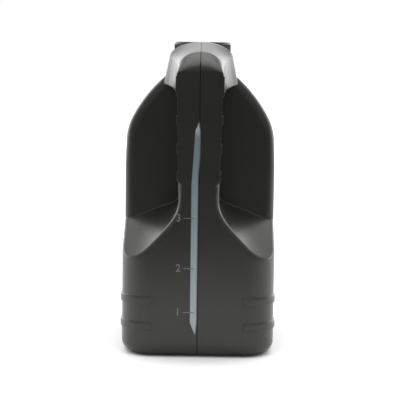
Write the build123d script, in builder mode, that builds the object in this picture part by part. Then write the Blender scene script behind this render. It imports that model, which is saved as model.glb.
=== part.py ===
"""A five litre oil jug: a hollow blow-moulded bottle with a built-in handle, a screw cap with its sealing
liner, and the tamper band that stays on the neck. Millimetres, +Z up, the handle on the -Y side, the neck
towards +Y, the width along X. The jug stands on z = 0."""

from build123d import *
import math
import os

os.makedirs("parts", exist_ok=True)

# Overall sizes
body_width = 139.8
body_length = 190.0
total_height = 284.0

# How far cutting shapes reach beyond the body
beyond = 20.0

# Moulding
wall = 1.8
hood_wall = 3.4
face_bulge = 1.5
corner_radius = 28.0
base_radius = 12.0
base_rim = 20.0
base_pushup = 1.5

# Shoulders: where the sides start to turn in, the knee of the turn and the edge of the deck
deck_height = total_height - 30.0
deck_half_width = 31.5
shoulder_drop = 58.0
knee_drop = 39.5
knee_in = 6.3
side_lean = 1.1
lean_drop = 98.0
nose_run = 18.0
nose_bow = 7.0
nose_bow_drop = 22.0
nose_drop = 54.0
rim_round = 8.0
nose_round = 8.0

# Finger gap behind the handle, and the sloping floors on both sides of it
back_wall_in = 54.0
handle_depth = 24.0
gap_bottom = 136.0
gap_corner = 7.0
floor_at_corner_rear = 74.0
floor_at_corner_inner = 116.0
floor_round = 5.0
floor_over = 4.0
recess_over = 5.0
gap_over = 4.0
floor_shape_rear = ((0, 1.0), (0.045, 0.77), (0.29, 0.48), (0.57, 0.246), (1, 0))
floor_shape_inner = ((0, 1.0), (0.045, 0.70), (0.29, 0.50), (0.57, 0.30), (1, 0))

# Handle bar and its grip ribs
bar_half_bottom = 19.6
bar_half_top = 21.6
bar_top = total_height - 46.0
bar_foot_rise = 11.0
rib_height = 9.0
rib_pitch = 25.0
rib_count = 3
rib_depth = 1.3
rib_first_drop = 28.0
rib_slant = 1.5

# Hood, where the handle runs forward to the neck
hood_end = 12.0
hood_half_back = 34.3
hood_half_crown = 29.3
hood_back_drop = 15.0
hood_rear_drop = 28.0
hood_flare = 3.0
hood_stations = 5
dome_run = 19.5
dome_over = 0.5
dome_turns = (86, 68, 50, 30, 0)
hood_underside_rise = 9.0
hood_end_round = 6.0

# Raised grip bars round the two lower corners on the handle side
grip_bar_heights = (28.2, 51.5)
grip_bar_tall = 6.4
grip_bar_proud = 1.2
grip_bar_from_x = 41.5
grip_bar_run = 34.0

# Neck, thread and sealing faces
neck_y = 50.0
neck_bore = 21.0
neck_radius = 23.6
neck_foot = 2.5
mouth_drop = 2.8
thread_pitch = 6.0
thread_depth = 1.4
thread_turns = 1.75
thread_root = 2.8
thread_crest = 1.2
thread_drop = 15.0
fit_gap = 0.3
bead_proud = 1.0
bead_tall = 1.6

# Cap, liner and tamper band
cap_skirt = 22.0
cap_wall = 2.0
cap_top = 1.6
cap_thread_turns = 1.0
cap_rib_count = 60
cap_rib_proud = 0.6
cap_edge_round = 1.2
band_tall = 4.4
band_gap = 0.7
band_fit = 0.35

neck_top = total_height - mouth_drop
liner_tall = mouth_drop - cap_top
thread_radius = neck_radius + thread_depth
cap_inner = thread_radius + fit_gap
cap_outer = cap_inner + cap_wall
cap_bottom = total_height - cap_skirt
band_top = cap_bottom - band_gap
neck_thread_start = neck_top - thread_drop
cap_thread_start = neck_thread_start + thread_pitch / 2


def plan_outline(inset):
    """Outline of the body seen from above, moved inward by inset."""
    half_w = body_width / 2 - inset
    half_l = body_length / 2 - inset
    with BuildSketch(mode=Mode.PRIVATE) as plan:
        with BuildLine():
            ThreePointArc((-half_w, -half_l), (0, -half_l - face_bulge), (half_w, -half_l))
            Line((half_w, -half_l), (half_w, half_l))
            ThreePointArc((half_w, half_l), (0, half_l + face_bulge), (-half_w, half_l))
            Line((-half_w, half_l), (-half_w, -half_l))
        make_face()
        fillet(plan.vertices(), corner_radius - inset)
    return plan.sketch


def shoulder_cutter(inset):
    """What lies above the sloping shoulder on the +X side."""
    half_w = body_width / 2 - inset
    start = (half_w + 0.3, deck_height - lean_drop)
    middle = (half_w - 0.2, deck_height - (lean_drop + shoulder_drop) / 2)
    turn = (half_w - side_lean, deck_height - shoulder_drop)
    knee = (half_w - knee_in + 0.2 * inset, deck_height - knee_drop - 0.6 * inset)
    edge = (deck_half_width - 0.7 * inset, deck_height - 0.5 * inset)
    outside = half_w + beyond
    above = total_height + beyond
    with BuildPart(mode=Mode.PRIVATE) as cutter:
        with BuildSketch(Plane.XZ):
            with BuildLine():
                lean = ThreePointArc(start, middle, turn)
                bend = TangentArc(turn, knee, tangent=lean % 1)
                TangentArc(knee, edge, tangent=bend % 1)
                Polyline(edge, (edge[0], above), (outside, above), (outside, start[1]), start)
            make_face()
        extrude(amount=body_length, both=True)
    return cutter.part


def nose_cutter(inset):
    """What lies in front of the slope from the front face up to the deck, on the +Y side."""
    front = body_length / 2 + face_bulge - inset
    low = deck_height - nose_drop
    above = total_height + beyond / 2
    with BuildPart(mode=Mode.PRIVATE) as cutter:
        with BuildSketch(Plane.YZ):
            with BuildLine():
                Line((front + beyond, low), (front, low))
                ThreePointArc((front, low), (front - nose_bow, deck_height - nose_bow_drop), (front - nose_run, above))
                Polyline((front - nose_run, above), (front + beyond, above), (front + beyond, low))
            make_face()
        extrude(amount=body_width, both=True)
    return cutter.part


def bar_side(inset):
    """Side of the handle bar from its foot to its top, with the grip ribs standing out of it."""
    foot = gap_bottom + bar_foot_rise
    lean = (bar_half_top - bar_half_bottom) / (bar_top - foot)
    points = [(bar_half_bottom - rib_depth - inset, foot)]
    for rib in range(rib_count, 0, -1):
        low = bar_top - rib_first_drop - (rib - 1) * rib_pitch
        for height, out in ((0, -rib_depth), (rib_slant, 0), (rib_height - rib_slant, 0), (rib_height, -rib_depth)):
            z = low + height
            points.append((bar_half_bottom + lean * (z - foot) + out - inset, z))
    points.append((bar_half_top - rib_depth - inset, bar_top - rib_slant))
    points.append((bar_half_top - inset, bar_top))
    return points


def recess_cutter(inset):
    """Space beside the handle bar on the +X side: its floor slopes down to the outside and to the rear."""
    side = bar_side(inset)
    outside = body_width / 2 + floor_over
    above = total_height + beyond
    rear = body_length / 2 + recess_over
    wall_y = body_length / 2 - back_wall_in - inset
    span = outside - side[0][0]
    foot_z = side[0][1]
    with BuildPart(mode=Mode.PRIVATE) as cutter:
        for y, shape, corner_z in ((rear, floor_shape_rear, floor_at_corner_rear),
                                   (wall_y, floor_shape_inner, floor_at_corner_inner)):
            curve = [(side[0][0] + span * u, foot_z - (foot_z - corner_z) * (1 - v) - inset * min(1, 20 * u))
                     for u, v in shape]
            with BuildSketch(Plane.XZ.offset(y)):
                with BuildLine():
                    Spline(*curve)
                    Polyline(curve[-1], (outside, above), (side[-1][0], above), *reversed(side))
                make_face()
        loft(ruled=True)
    return cutter.part


def finger_gap(inset):
    """Gap behind the handle bar, right through the jug along X."""
    rear = -body_length / 2 + handle_depth - inset
    wall_y = -body_length / 2 + back_wall_in + inset
    low = gap_bottom - inset
    high = total_height + beyond
    with BuildPart(mode=Mode.PRIVATE) as cutter:
        with BuildSketch(Plane.YZ) as side:
            with BuildLine():
                Polyline((rear, low), (wall_y, low), (wall_y, high), (rear, high), (rear, low))
            make_face()
            fillet(side.vertices().sort_by(Axis.Z)[:2], gap_corner + inset)
        extrude(amount=bar_half_top + gap_over, both=True)
    return cutter.part


def hood_section(y, rise, inset):
    """Cross-section of the hood at a distance y to the rear, with a part, rise, of its full dome height."""
    along = (body_length / 2 + face_bulge + dome_over - y) / (face_bulge + dome_over + back_wall_in)
    foot_half = bar_half_top + (hood_half_back - bar_half_top) * along ** hood_flare - inset
    side_half = bar_half_top - 1 + (hood_half_crown - bar_half_top + 1) * along ** hood_flare - inset
    foot = (foot_half, bar_top - 2 + hood_underside_rise * along + inset)
    side = (side_half, total_height - hood_rear_drop + (hood_rear_drop - hood_back_drop) * along)
    with BuildSketch(Plane.XZ.offset(y), mode=Mode.PRIVATE) as section:
        with BuildLine():
            Line(foot, side)
            EllipticalCenterArc((0, side[1]), side[0], (hood_back_drop - inset) * rise, start_angle=0, arc_size=180)
            Polyline((-side[0], side[1]), (-foot[0], foot[1]), foot)
        make_face()
    return section.sketch


def hood(inset, end_rounding):
    """The top of the handle, a dome with a rounded rear end that runs forward and wider to the neck."""
    back = body_length / 2 - back_wall_in
    round_from = body_length / 2 + face_bulge + dome_over - dome_run
    turns = [math.radians(angle) for angle in dome_turns]
    with BuildPart(mode=Mode.PRIVATE) as top:
        loft([hood_section(round_from + (dome_run - inset) * math.sin(turn), math.cos(turn), inset) for turn in turns])
        loft([hood_section(round_from + (back - round_from) * station / hood_stations, 1, inset)
              for station in range(hood_stations + 1)], ruled=True)
        extrude(hood_section(back, 1, inset), amount=-back - hood_end + inset)
        extrude(plan_outline(inset), amount=total_height + beyond, mode=Mode.INTERSECT)
        if end_rounding:
            end = top.edges().filter_by_position(Axis.Y, hood_end - 0.01, hood_end + 0.01)
            fillet(end.filter_by(lambda edge: edge.center().Z > deck_height), end_rounding)
    return top.part


def skin(inset, hood_inset, hood_rounding):
    """The whole body and handle, with every face moved inward by inset and the hood's by hood_inset."""
    recess = recess_cutter(inset)
    shoulder = shoulder_cutter(inset)
    with BuildPart(mode=Mode.PRIVATE) as body:
        with BuildSketch(Plane.XY.offset(inset)):
            add(plan_outline(inset))
        extrude(amount=deck_height - 2 * inset)
        fillet(body.faces().sort_by(Axis.Z)[0].edges(), base_radius - inset)
        with BuildSketch(Plane.XY):
            add(plan_outline(base_rim - inset))
        extrude(amount=base_pushup + inset, mode=Mode.SUBTRACT)
        add(shoulder, mode=Mode.SUBTRACT)
        add(shoulder.mirror(Plane.YZ), mode=Mode.SUBTRACT)
        add(nose_cutter(inset), mode=Mode.SUBTRACT)
        add(recess, mode=Mode.SUBTRACT)
        add(recess.mirror(Plane.YZ), mode=Mode.SUBTRACT)
        add(finger_gap(inset), mode=Mode.SUBTRACT)
        fillet(rim_edges(body.edges(), inset), rim_round - inset)
        fillet(floor_edges(body.edges()), floor_round - inset)
        fillet(nose_edges(body.edges()), nose_round - inset)
        add(hood(hood_inset, hood_rounding))
    return body.part


def rim_edges(edges, inset):
    """Edges where the back wall of the recess meets the sides and the shoulders."""
    wall_y = -body_length / 2 + back_wall_in + inset
    on_wall = edges.filter_by_position(Axis.Y, wall_y - 0.01, wall_y + 0.01)
    return on_wall.filter_by(lambda edge: abs(edge.center().X) > deck_half_width + 5
                             and edge.center().Z > (gap_bottom + deck_height) / 2 - 50
                             and edge.bounding_box().max.Z > gap_bottom + 5)


def floor_edges(edges):
    """Edges where the recess floors meet the rear face and its corners."""
    rear = edges.filter_by_position(Axis.Y, -body_length, -body_length / 2 + corner_radius / 2)
    above_base = rear.filter_by_position(Axis.Z, floor_at_corner_rear, gap_bottom - 8)
    return above_base.filter_by(lambda edge: edge.geom_type == GeomType.BSPLINE)


def nose_edges(edges):
    """Edges across the front of the jug, below and above the slope up to the deck."""
    across = edges.filter_by(lambda edge: abs(edge.center().X) < 1 and edge.center().Y > neck_y)
    return across.filter_by_position(Axis.Z, deck_height - nose_drop - 5, total_height)


def grip_bars():
    """Raised bars that wrap the two lower corners on the handle side."""
    with BuildPart(mode=Mode.PRIVATE) as bars:
        for height in grip_bar_heights:
            with BuildSketch(Plane.XY.offset(height - grip_bar_tall / 2)):
                add(plan_outline(-grip_bar_proud))
            extrude(amount=grip_bar_tall)
        with Locations((0, -body_length / 2 - 10, 0)):
            Box(body_width + 20, 2 * (grip_bar_run + 10), total_height, mode=Mode.INTERSECT)
        Box(2 * grip_bar_from_x, body_length + 20, total_height, mode=Mode.SUBTRACT)
    return bars.part


def thread_ridge(root_radius, crest_radius, start, turns, angle):
    """One start of a screw thread, from root_radius to crest_radius, about the neck's axis."""
    frame = Plane(origin=(0, neck_y, start)).rotated((0, 0, angle))
    profile = Plane(origin=frame.from_local_coords((root_radius, 0, 0)), x_dir=frame.x_dir,
                    z_dir=-frame.y_dir)
    reach = crest_radius - root_radius
    side = 1 if reach > 0 else -1
    with BuildPart(mode=Mode.PRIVATE) as ridge:
        with BuildLine(frame, mode=Mode.PRIVATE) as path:
            Helix(pitch=thread_pitch, height=thread_pitch * turns, radius=root_radius)
        with BuildSketch(profile) as section:
            with BuildLine():
                Polyline((0, -side * thread_root / 2), (reach, -side * thread_crest / 2),
                         (reach, side * thread_crest / 2), (0, side * thread_root / 2), (0, -side * thread_root / 2))
            make_face()
        sweep(section.sketch, path=path.line, is_frenet=True)
    return ridge.part


with BuildPart() as bottle:
    add(skin(0, 0, hood_end_round))
    add(grip_bars())
    with BuildSketch(Plane.XY.offset(deck_height - 4)):
        with Locations((0, neck_y)):
            Circle(neck_radius + neck_foot + 4)
    with BuildSketch(Plane.XY.offset(deck_height + neck_foot)):
        with Locations((0, neck_y)):
            Circle(neck_radius)
    loft()
    with Locations((0, neck_y, deck_height)):
        Cylinder(neck_radius, neck_top - deck_height, align=(Align.CENTER, Align.CENTER, Align.MIN))
    with Locations((0, neck_y, band_top)):
        Cylinder(neck_radius + bead_proud, bead_tall, align=(Align.CENTER, Align.CENTER, Align.MIN))
    add(thread_ridge(neck_radius - 0.4, thread_radius, neck_thread_start, thread_turns, 0))
    add(skin(wall, hood_wall, 0), mode=Mode.SUBTRACT)
    with Locations((0, neck_y, deck_height - 3 * wall)):
        Cylinder(neck_bore, total_height, align=(Align.CENTER, Align.CENTER, Align.MIN), mode=Mode.SUBTRACT)

with BuildPart() as cap:
    with Locations((0, neck_y, cap_bottom)):
        Cylinder(cap_outer, cap_skirt, align=(Align.CENTER, Align.CENTER, Align.MIN))
    fillet(cap.faces().sort_by(Axis.Z)[-1].edges(), cap_edge_round)
    with Locations((0, neck_y, cap_bottom)):
        with PolarLocations(cap_outer, cap_rib_count):
            Cylinder(cap_rib_proud, cap_skirt - 2 * cap_edge_round, align=(Align.CENTER, Align.CENTER, Align.MIN))
    with Locations((0, neck_y, cap_bottom)):
        Cylinder(cap_inner, cap_skirt - cap_top, align=(Align.CENTER, Align.CENTER, Align.MIN),
                 mode=Mode.SUBTRACT)
    add(thread_ridge(cap_inner + 0.4, neck_radius + fit_gap, cap_thread_start, cap_thread_turns, 0))

with BuildPart() as liner:
    with Locations((0, neck_y, neck_top)):
        Cylinder(neck_radius, liner_tall, align=(Align.CENTER, Align.CENTER, Align.MIN))

with BuildPart() as tamper_ring:
    with Locations((0, neck_y, band_top - band_tall)):
        Cylinder(cap_outer, band_tall, align=(Align.CENTER, Align.CENTER, Align.MIN))
        Cylinder(neck_radius + band_fit, band_tall, align=(Align.CENTER, Align.CENTER, Align.MIN),
                 mode=Mode.SUBTRACT)

bottle.part.label = "bottle"
cap.part.label = "cap"
liner.part.label = "liner"
tamper_ring.part.label = "tamper_ring"

export_step(bottle.part, "parts/bottle.step")
export_step(cap.part, "parts/cap.step")
export_step(liner.part, "parts/liner.step")
export_step(tamper_ring.part, "parts/tamper_ring.step")
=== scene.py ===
"""Looks for the oil jug: satin dark polyethylene with a moulded seam, a light sight strip and litre marks,
in a white studio. Metres, in the CAD frame."""
import math

import bpy
from mathutils import Matrix, Vector


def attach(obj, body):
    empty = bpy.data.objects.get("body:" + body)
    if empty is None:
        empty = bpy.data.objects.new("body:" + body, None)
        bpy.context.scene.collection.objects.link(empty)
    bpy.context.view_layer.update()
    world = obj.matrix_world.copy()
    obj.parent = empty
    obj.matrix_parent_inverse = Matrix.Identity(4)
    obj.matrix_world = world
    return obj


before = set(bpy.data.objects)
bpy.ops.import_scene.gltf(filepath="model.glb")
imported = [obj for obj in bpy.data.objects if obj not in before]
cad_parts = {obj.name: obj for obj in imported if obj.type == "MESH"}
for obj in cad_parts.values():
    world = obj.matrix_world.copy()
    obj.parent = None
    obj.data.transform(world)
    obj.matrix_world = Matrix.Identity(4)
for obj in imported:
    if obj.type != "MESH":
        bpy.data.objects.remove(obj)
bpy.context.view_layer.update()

# The flat face of the handle side and the heights of the litre marks on it
FACE_Y = -0.0965
MARKS = ((3, 0.1275), (2, 0.0819), (1, 0.0418))
NUMERAL_X = -0.0177
NUMERAL_SIZE = 0.0098
NUMERAL_PROUD = 0.00015
NUMERAL_STROKE = 0.00012
NUMERAL_NARROW = 0.92
TICK_START = -0.0130
TICK_END = -0.0036
TICK_HALF = 0.00038
TICK_PROUD = 0.00022
TICK_SUNK = 0.0006
TICK_END_STEPS = 7

# Sight strip: the heights between which its edges move, and its edges along x
STRIP_LEFT = -0.0067
STRIP_LEFT_LEAN = (0.158, 0.210, 0.0032)
STRIP_LEFT_TIP = (0.206, 0.2150, 0.0034)
STRIP_RIGHT_LEAN = (0.163, 0.187, 0.0014)
STRIP_RIGHT_TIP = (0.205, 0.2150, -0.0014)
STRIP_FOOT = (0.0195, 0.0325)
STRIP_FOOT_LEFT = 0.0052
STRIP_FOOT_RIGHT = -0.0014

# Parting line: a low ridge, and painted shade along it as a thin dark line
SEAM_PROUD = 0.00025
SEAM_HALF = 0.00045
SEAM_STEPS = 24
SEAM_SPANS = (("seam_upper", 0.214, 0.2655), ("seam_lower", 0.0145, 0.0205))
SEAM_SHADE_X = 0.0001
SEAM_SHADE_FRONT_Y = 0.012

# Brightness of the surroundings as the object reflects them
SIDE_LIGHT = 0.6
TOP_LIGHT = 2.5
BACK_LIGHT = 3.0
FRONT_LIGHT = 0.48


def node(tree, kind, **values):
    """A new shader node with its properties and the values of its inputs set."""
    made = tree.nodes.new(kind)
    for name, value in values.items():
        if name in made.inputs:
            made.inputs[name].default_value = value
        else:
            setattr(made, name, value)
    return made


def math_node(tree, operation, a, b=None, c=None):
    """The output of a math node whose inputs are sockets or numbers."""
    made = tree.nodes.new("ShaderNodeMath")
    made.operation = operation
    for socket, value in zip(made.inputs, (a, b, c)):
        if value is None:
            continue
        if isinstance(value, (int, float)):
            socket.default_value = value
        else:
            tree.links.new(value, socket)
    return made.outputs[0]


def ramp(tree, value, low, high, smooth=True):
    """0 to 1 as value goes from low to high."""
    made = tree.nodes.new("ShaderNodeMapRange")
    made.interpolation_type = "SMOOTHSTEP" if smooth else "LINEAR"
    tree.links.new(value, made.inputs["Value"])
    made.inputs["From Min"].default_value = low
    made.inputs["From Max"].default_value = high
    return made.outputs["Result"]


def mix_colour(tree, factor, a, b):
    """Colour a where factor is 0 and b where it is 1."""
    made = tree.nodes.new("ShaderNodeMix")
    made.data_type = "RGBA"
    tree.links.new(factor, made.inputs["Factor"])
    for socket, value in ((made.inputs[6], a), (made.inputs[7], b)):
        if isinstance(value, tuple):
            socket.default_value = (*value, 1)
        else:
            tree.links.new(value, socket)
    return made.outputs[2]


def new_material(name):
    """A node material, its tree and its main shader."""
    material = bpy.data.materials.new(name)
    material.use_nodes = True
    tree = material.node_tree
    return material, tree, tree.nodes["Principled BSDF"]


def plastic(name, dark, light, roughness, grain=700.0, bump=0.06, edge_round=0.0012):
    """Moulded plastic: faint cloudy colour, uneven gloss, a fine grain and softened edges."""
    material, tree, shader = new_material(name)
    place = tree.nodes.new("ShaderNodeTexCoord").outputs["Object"]
    cloud = node(tree, "ShaderNodeTexNoise", Scale=22.0, Detail=4.0)
    fine = node(tree, "ShaderNodeTexNoise", Scale=grain, Detail=2.0)
    tree.links.new(place, cloud.inputs["Vector"])
    tree.links.new(place, fine.inputs["Vector"])
    colour = mix_colour(tree, cloud.outputs["Fac"], dark, light)
    gloss = math_node(tree, "MULTIPLY_ADD", cloud.outputs["Fac"], 0.10, roughness - 0.05)
    tree.links.new(colour, shader.inputs["Base Color"])
    tree.links.new(gloss, shader.inputs["Roughness"])
    edges = node(tree, "ShaderNodeBevel", samples=6, Radius=edge_round)
    relief = node(tree, "ShaderNodeBump", Strength=bump, Distance=0.0002)
    tree.links.new(fine.outputs["Fac"], relief.inputs["Height"])
    tree.links.new(edges.outputs["Normal"], relief.inputs["Normal"])
    tree.links.new(relief.outputs["Normal"], shader.inputs["Normal"])
    return material, tree, shader, place, colour


def total(tree, *sockets):
    """The sum of several sockets or numbers."""
    result = sockets[0]
    for socket in sockets[1:]:
        result = math_node(tree, "ADD", result, socket)
    return result


def shift(tree, value, span, smooth=True):
    """0 to span's last number as value goes between its first two."""
    return math_node(tree, "MULTIPLY", ramp(tree, value, span[0], span[1], smooth), span[2])


def jug_material():
    """The jug's plastic, with the light sight strip as a stripe of clear plastic in the same wall, and
    painted shade along the mould's parting line: a thin dark line with less specular reflection, over the
    hood and down to the base."""
    material, tree, shader, place, colour = plastic(
        "jug_plastic", (0.0135, 0.0132, 0.0105), (0.0185, 0.0181, 0.0150), 0.30, edge_round=0.0018)
    axes = tree.nodes.new("ShaderNodeSeparateXYZ")
    tree.links.new(place, axes.inputs[0])
    x, y, z = axes.outputs
    foot = math_node(tree, "SUBTRACT", 1.0, ramp(tree, z, *STRIP_FOOT, False))
    left = total(tree, shift(tree, z, STRIP_LEFT_LEAN, False), shift(tree, z, STRIP_LEFT_TIP, False),
                 math_node(tree, "MULTIPLY", foot, STRIP_FOOT_LEFT), STRIP_LEFT)
    right = total(tree, shift(tree, z, STRIP_RIGHT_LEAN), shift(tree, z, STRIP_RIGHT_TIP, False),
                  math_node(tree, "MULTIPLY", foot, STRIP_FOOT_RIGHT))
    from_left = math_node(tree, "SUBTRACT", x, left)
    from_right = math_node(tree, "SUBTRACT", right, x)
    inside = math_node(tree, "MINIMUM", from_left, from_right)
    stripe = ramp(tree, inside, -0.0002, 0.0006)
    on_face = math_node(tree, "LESS_THAN", y, -0.085)
    stripe = math_node(tree, "MULTIPLY", stripe, on_face)
    height = ramp(tree, z, 0.03, 0.19, False)
    clear = mix_colour(tree, height, (0.30, 0.36, 0.385), (0.145, 0.19, 0.21))
    clear = mix_colour(tree, ramp(tree, z, 0.198, 0.209), clear, (0.36, 0.38, 0.385))
    edge = math_node(tree, "SUBTRACT", 1.0, ramp(tree, from_right, 0.0004, 0.0016))
    clear = mix_colour(tree, edge, clear, (0.055, 0.085, 0.11))
    # Painted shade: a thin near-black line along the parting line at x = 0, off the strip and on the
    # handle side
    off_seam_shade = math_node(tree, "ABSOLUTE", math_node(tree, "SUBTRACT", x, SEAM_SHADE_X))
    line = math_node(tree, "SUBTRACT", 1.0, ramp(tree, off_seam_shade, 0.00018, 0.0005))
    beside = math_node(tree, "MULTIPLY", line, math_node(tree, "SUBTRACT", 1.0, stripe))
    line = math_node(tree, "MULTIPLY", beside, math_node(tree, "LESS_THAN", y, SEAM_SHADE_FRONT_Y))
    colour = mix_colour(tree, line, colour, (0.002, 0.002, 0.002))
    tree.links.new(mix_colour(tree, stripe, colour, clear), shader.inputs["Base Color"])
    # Painted shade: less specular reflection on the dark parting line
    tree.links.new(math_node(tree, "MULTIPLY_ADD", line, -0.45, 0.5), shader.inputs["Specular IOR Level"])
    return material


def grow_text(digit, height, material):
    """A raised numeral beside its tick."""
    curve = bpy.data.curves.new(f"numeral_{digit}", "FONT")
    curve.body = str(digit)
    curve.size = NUMERAL_SIZE
    curve.extrude = NUMERAL_PROUD
    curve.offset = NUMERAL_STROKE
    curve.align_x = "CENTER"
    curve.align_y = "CENTER"
    text = bpy.data.objects.new(f"numeral_{digit}", curve)
    bpy.context.scene.collection.objects.link(text)
    text.location = (NUMERAL_X, FACE_Y + 0.00005, height)
    text.rotation_euler = (math.pi / 2, 0, 0)
    text.scale = (NUMERAL_NARROW, 1, 1)
    text.data.materials.append(material)
    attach(text, "jug")


def mesh_piece(name, vertices, faces, material):
    """A mesh that rides the jug, with the material it is given."""
    mesh = bpy.data.meshes.new(name)
    mesh.from_pydata(vertices, [], faces)
    mesh.validate()
    piece = bpy.data.objects.new(name, mesh)
    bpy.context.scene.collection.objects.link(piece)
    mesh.materials.append(material)
    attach(piece, "jug")
    return piece


def tick(number, height, material):
    """A raised tick whose ends are rounded, running from beside the numeral onto the sight strip."""
    outline = []
    for centre, first in ((TICK_END, -90), (TICK_START, 90)):
        for step in range(TICK_END_STEPS):
            turn = math.radians(first + 180 / (TICK_END_STEPS - 1) * step)
            outline.append((centre + TICK_HALF * math.cos(turn), height + TICK_HALF * math.sin(turn)))
    front = [(x, FACE_Y - TICK_PROUD, z) for x, z in outline]
    back = [(x, FACE_Y + TICK_SUNK, z) for x, z in outline]
    count = len(outline)
    faces = [tuple(range(count)), tuple(reversed(range(count, 2 * count)))]
    faces += [(i, i + count, (i + 1) % count + count, (i + 1) % count) for i in range(count)]
    return mesh_piece(f"tick_{number}", front + back, faces, material)


def seam(material):
    """The mould's parting line, a low ridge down the handle and on the face below the sight strip."""
    for name, low, high in SEAM_SPANS:
        vertices, faces = [], []
        for step in range(SEAM_STEPS + 1):
            z = low + (high - low) * step / SEAM_STEPS
            vertices += [(-SEAM_HALF, FACE_Y + 0.0001, z), (0, FACE_Y - SEAM_PROUD, z),
                         (SEAM_HALF, FACE_Y + 0.0001, z)]
        for step in range(SEAM_STEPS):
            base = 3 * step
            faces += [(base, base + 1, base + 4, base + 3), (base + 1, base + 2, base + 5, base + 4)]
        last = 3 * SEAM_STEPS
        faces += [(0, 2, 1), (last, last + 1, last + 2)]
        mesh_piece(name, vertices, faces, material)


def studio():
    """White all round to the camera. For the object: bright narrow sides, top and back, and a dark front
    that stays dark below the horizon."""
    world = bpy.data.worlds.new("studio")
    bpy.context.scene.world = world
    world.use_nodes = True
    tree = world.node_tree
    background = tree.nodes["Background"]
    direction = tree.nodes.new("ShaderNodeTexCoord").outputs["Generated"]
    axes = tree.nodes.new("ShaderNodeSeparateXYZ")
    tree.links.new(direction, axes.inputs[0])
    x, y, z = axes.outputs
    sides = math_node(tree, "MULTIPLY", ramp(tree, math_node(tree, "ABSOLUTE", x), 0.84, 0.98), SIDE_LIGHT)
    top = math_node(tree, "MULTIPLY", ramp(tree, z, 0.72, 0.98), TOP_LIGHT)
    behind = math_node(tree, "MULTIPLY", ramp(tree, y, 0.0, 0.35), BACK_LIGHT)
    low = math_node(tree, "MULTIPLY_ADD", ramp(tree, z, 0.15, 0.6), -0.72, 1.0)
    around = math_node(tree, "MULTIPLY", math_node(tree, "ADD", sides, behind), low)
    light = math_node(tree, "ADD", math_node(tree, "ADD", around, top), FRONT_LIGHT)
    light = math_node(tree, "MULTIPLY", light, ramp(tree, z, -0.05, 0.02))
    ray = tree.nodes.new("ShaderNodeLightPath").outputs["Is Camera Ray"]
    seen = math_node(tree, "MULTIPLY_ADD", ray, math_node(tree, "SUBTRACT", 1.0, light), light)
    tree.links.new(seen, background.inputs["Strength"])
    background.inputs["Color"].default_value = (1, 1, 1, 1)


def floor():
    """White ground that keeps the object's shadow, and ends a short way in front of it."""
    mesh = bpy.data.meshes.new("floor")
    mesh.from_pydata([(-3, -0.5, 0), (3, -0.5, 0), (3, 4, 0), (-3, 4, 0)], [], [(0, 1, 2, 3)])
    ground = bpy.data.objects.new("floor", mesh)
    bpy.context.scene.collection.objects.link(ground)
    material, tree, shader = new_material("floor_white")
    noise = node(tree, "ShaderNodeTexNoise", Scale=3.0)
    tree.links.new(mix_colour(tree, noise.outputs["Fac"], (0.96, 0.96, 0.96), (0.98, 0.98, 0.98)),
                   shader.inputs["Base Color"])
    shader.inputs["Roughness"].default_value = 0.9
    shader.inputs["Specular IOR Level"].default_value = 0.1
    ground.data.materials.append(material)


def camera():
    """Looks at the handle side from cap height, a little to the right and tilted down."""
    distance = 1.232
    height = 0.284
    drop = 0.15172
    side = math.radians(0.7)
    data = bpy.data.cameras.new("camera")
    data.lens = 115.5
    data.sensor_width = 36
    view = bpy.data.objects.new("camera", data)
    bpy.context.scene.collection.objects.link(view)
    eye = Vector((math.sin(side) * distance, -math.cos(side) * distance, height))
    target = Vector((0, 0, height - drop))
    facing = (target - eye).to_track_quat("-Z", "Y").to_matrix().to_4x4()
    roll = Matrix.Rotation(math.radians(0.75), 4, "Z")
    view.matrix_world = Matrix.Translation(eye) @ facing @ roll
    bpy.context.scene.camera = view


camera()
studio()
floor()
jug = jug_material()
black = plastic("cap_plastic", (0.010, 0.010, 0.011), (0.014, 0.014, 0.015), 0.42)[0]
foam = plastic("liner_foam", (0.70, 0.70, 0.68), (0.80, 0.80, 0.78), 0.7, grain=1500.0)[0]
mark = plastic("mark_plastic", (0.11, 0.112, 0.11), (0.15, 0.152, 0.15), 0.40, edge_round=0.0001)[0]
for name, material in (("bottle", jug), ("cap", black), ("tamper_ring", black), ("liner", foam)):
    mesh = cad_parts[name].data
    mesh.materials.clear()
    mesh.materials.append(material)
for number, height in MARKS:
    grow_text(number, height, mark)
    tick(number, height, mark)
seam(jug)

bpy.context.scene.view_settings.view_transform = "Standard"
